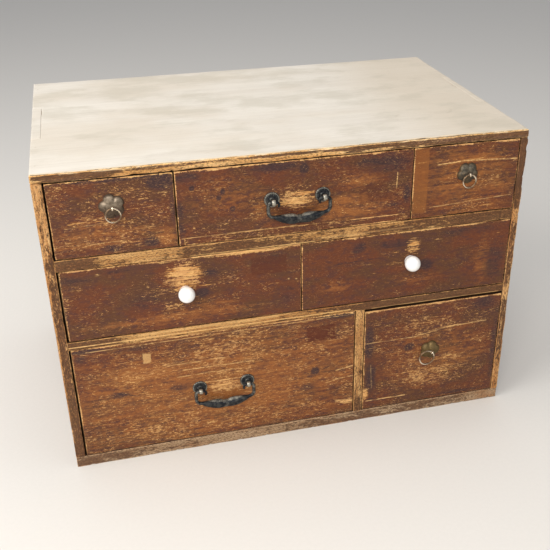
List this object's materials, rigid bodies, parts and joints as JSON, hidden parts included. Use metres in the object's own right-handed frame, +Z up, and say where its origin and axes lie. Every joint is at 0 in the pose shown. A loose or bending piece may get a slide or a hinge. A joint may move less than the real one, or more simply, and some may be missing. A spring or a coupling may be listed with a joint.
{
  "type": "apothecary cabinet",
  "caption": "Tabletop apothecary chest with small drawers in three rows, worn stained fronts, iron bail handles, bronze ring pulls and porcelain knobs.",
  "frame": {"origin": "middle of the underside of the carcass", "axes": "+Z up, drawer fronts face -Y, X along the width with +X on the right of a viewer facing the fronts"},
  "size_m": [0.5, 0.3347, 0.34],
  "materials": {
    "bleached_top": "matt, bleached and dry",
    "worn_carcass_wood": "matt, worn bare at the edges with stain remnants",
    "stained_front": "dull satin red-brown stain, scratched through to bare wood",
    "plain_wood": "matt, unfinished",
    "dark_iron": "dark patina, rubbed bright on the edges",
    "old_bronze": "dull aged bronze, rubbed bright on the rings",
    "porcelain": "white glazed porcelain, glossy"
  },
  "bodies": {
    "carcass": {"top_board": "bleached_top", "bottom_board": "worn_carcass_wood", "left_side": "worn_carcass_wood", "right_side": "worn_carcass_wood", "back_panel": "plain_wood", "upper_shelf": "worn_carcass_wood", "lower_shelf": "worn_carcass_wood", "top_left_divider": "plain_wood", "top_right_divider": "plain_wood", "mid_divider": "plain_wood", "low_divider": "worn_carcass_wood", "carcass_pegs": "plain_wood"},
    "top_left_drawer": {"top_left_front": "stained_front", "top_left_sides": "plain_wood", "top_left_back": "plain_wood", "top_left_bottom": "plain_wood", "top_left_plate": "old_bronze", "top_left_staple": "old_bronze"},
    "top_left_ring": {"top_left_ring": "old_bronze"},
    "top_middle_drawer": {"top_middle_front": "stained_front", "top_middle_sides": "plain_wood", "top_middle_back": "plain_wood", "top_middle_bottom": "plain_wood", "top_middle_rosettes": "dark_iron", "top_middle_posts": "dark_iron"},
    "top_middle_bail": {"top_middle_bail": "dark_iron"},
    "top_right_drawer": {"top_right_front": "stained_front", "top_right_sides": "plain_wood", "top_right_back": "plain_wood", "top_right_bottom": "plain_wood", "top_right_plate": "old_bronze", "top_right_staple": "old_bronze"},
    "top_right_ring": {"top_right_ring": "old_bronze"},
    "mid_left_drawer": {"mid_left_front": "stained_front", "mid_left_sides": "plain_wood", "mid_left_back": "plain_wood", "mid_left_bottom": "plain_wood", "mid_left_knob": "porcelain", "mid_left_screw": "old_bronze"},
    "mid_right_drawer": {"mid_right_front": "stained_front", "mid_right_sides": "plain_wood", "mid_right_back": "plain_wood", "mid_right_bottom": "plain_wood", "mid_right_knob": "porcelain", "mid_right_screw": "old_bronze"},
    "low_left_drawer": {"low_left_front": "stained_front", "low_left_sides": "plain_wood", "low_left_back": "plain_wood", "low_left_bottom": "plain_wood", "low_left_rosettes": "dark_iron", "low_left_posts": "dark_iron"},
    "low_left_bail": {"low_left_bail": "dark_iron"},
    "low_right_drawer": {"low_right_front": "stained_front", "low_right_sides": "plain_wood", "low_right_back": "plain_wood", "low_right_bottom": "plain_wood", "low_right_plate": "old_bronze", "low_right_staple": "old_bronze"},
    "low_right_ring": {"low_right_ring": "old_bronze"}
  },
  "joints": [
    {"name": "top_left_slide", "type": "slide", "parent": "carcass", "child": "top_left_drawer", "axis": [0, -1, 0], "range_m": [0, 0.24]},
    {"name": "top_left_ring_swing", "type": "hinge", "parent": "top_left_drawer", "child": "top_left_ring", "pos_m": [-0.1797, -0.1654, 0.303], "axis": [-1, 0, 0], "range_deg": [-12, 175]},
    {"name": "top_middle_slide", "type": "slide", "parent": "carcass", "child": "top_middle_drawer", "axis": [0, -1, 0], "range_m": [0, 0.24]},
    {"name": "top_middle_bail_swing", "type": "hinge", "parent": "top_middle_drawer", "child": "top_middle_bail", "pos_m": [0.0014, -0.1664, 0.292], "axis": [-1, 0, 0], "range_deg": [-10, 175]},
    {"name": "top_right_slide", "type": "slide", "parent": "carcass", "child": "top_right_drawer", "axis": [0, -1, 0], "range_m": [0, 0.24]},
    {"name": "top_right_ring_swing", "type": "hinge", "parent": "top_right_drawer", "child": "top_right_ring", "pos_m": [0.1844, -0.1654, 0.299], "axis": [-1, 0, 0], "range_deg": [-12, 175]},
    {"name": "mid_left_slide", "type": "slide", "parent": "carcass", "child": "mid_left_drawer", "axis": [0, -1, 0], "range_m": [0, 0.24]},
    {"name": "mid_right_slide", "type": "slide", "parent": "carcass", "child": "mid_right_drawer", "axis": [0, -1, 0], "range_m": [0, 0.24]},
    {"name": "low_left_slide", "type": "slide", "parent": "carcass", "child": "low_left_drawer", "axis": [0, -1, 0], "range_m": [0, 0.24]},
    {"name": "low_left_bail_swing", "type": "hinge", "parent": "low_left_drawer", "child": "low_left_bail", "pos_m": [-0.0838, -0.1664, 0.0805], "axis": [-1, 0, 0], "range_deg": [-10, 175]},
    {"name": "low_right_slide", "type": "slide", "parent": "carcass", "child": "low_right_drawer", "axis": [0, -1, 0], "range_m": [0, 0.24]},
    {"name": "low_right_ring_swing", "type": "hinge", "parent": "low_right_drawer", "child": "low_right_ring", "pos_m": [0.1575, -0.1654, 0.0846], "axis": [-0.7431, 0, 0.6691], "range_deg": [-12, 175]}
  ]
}
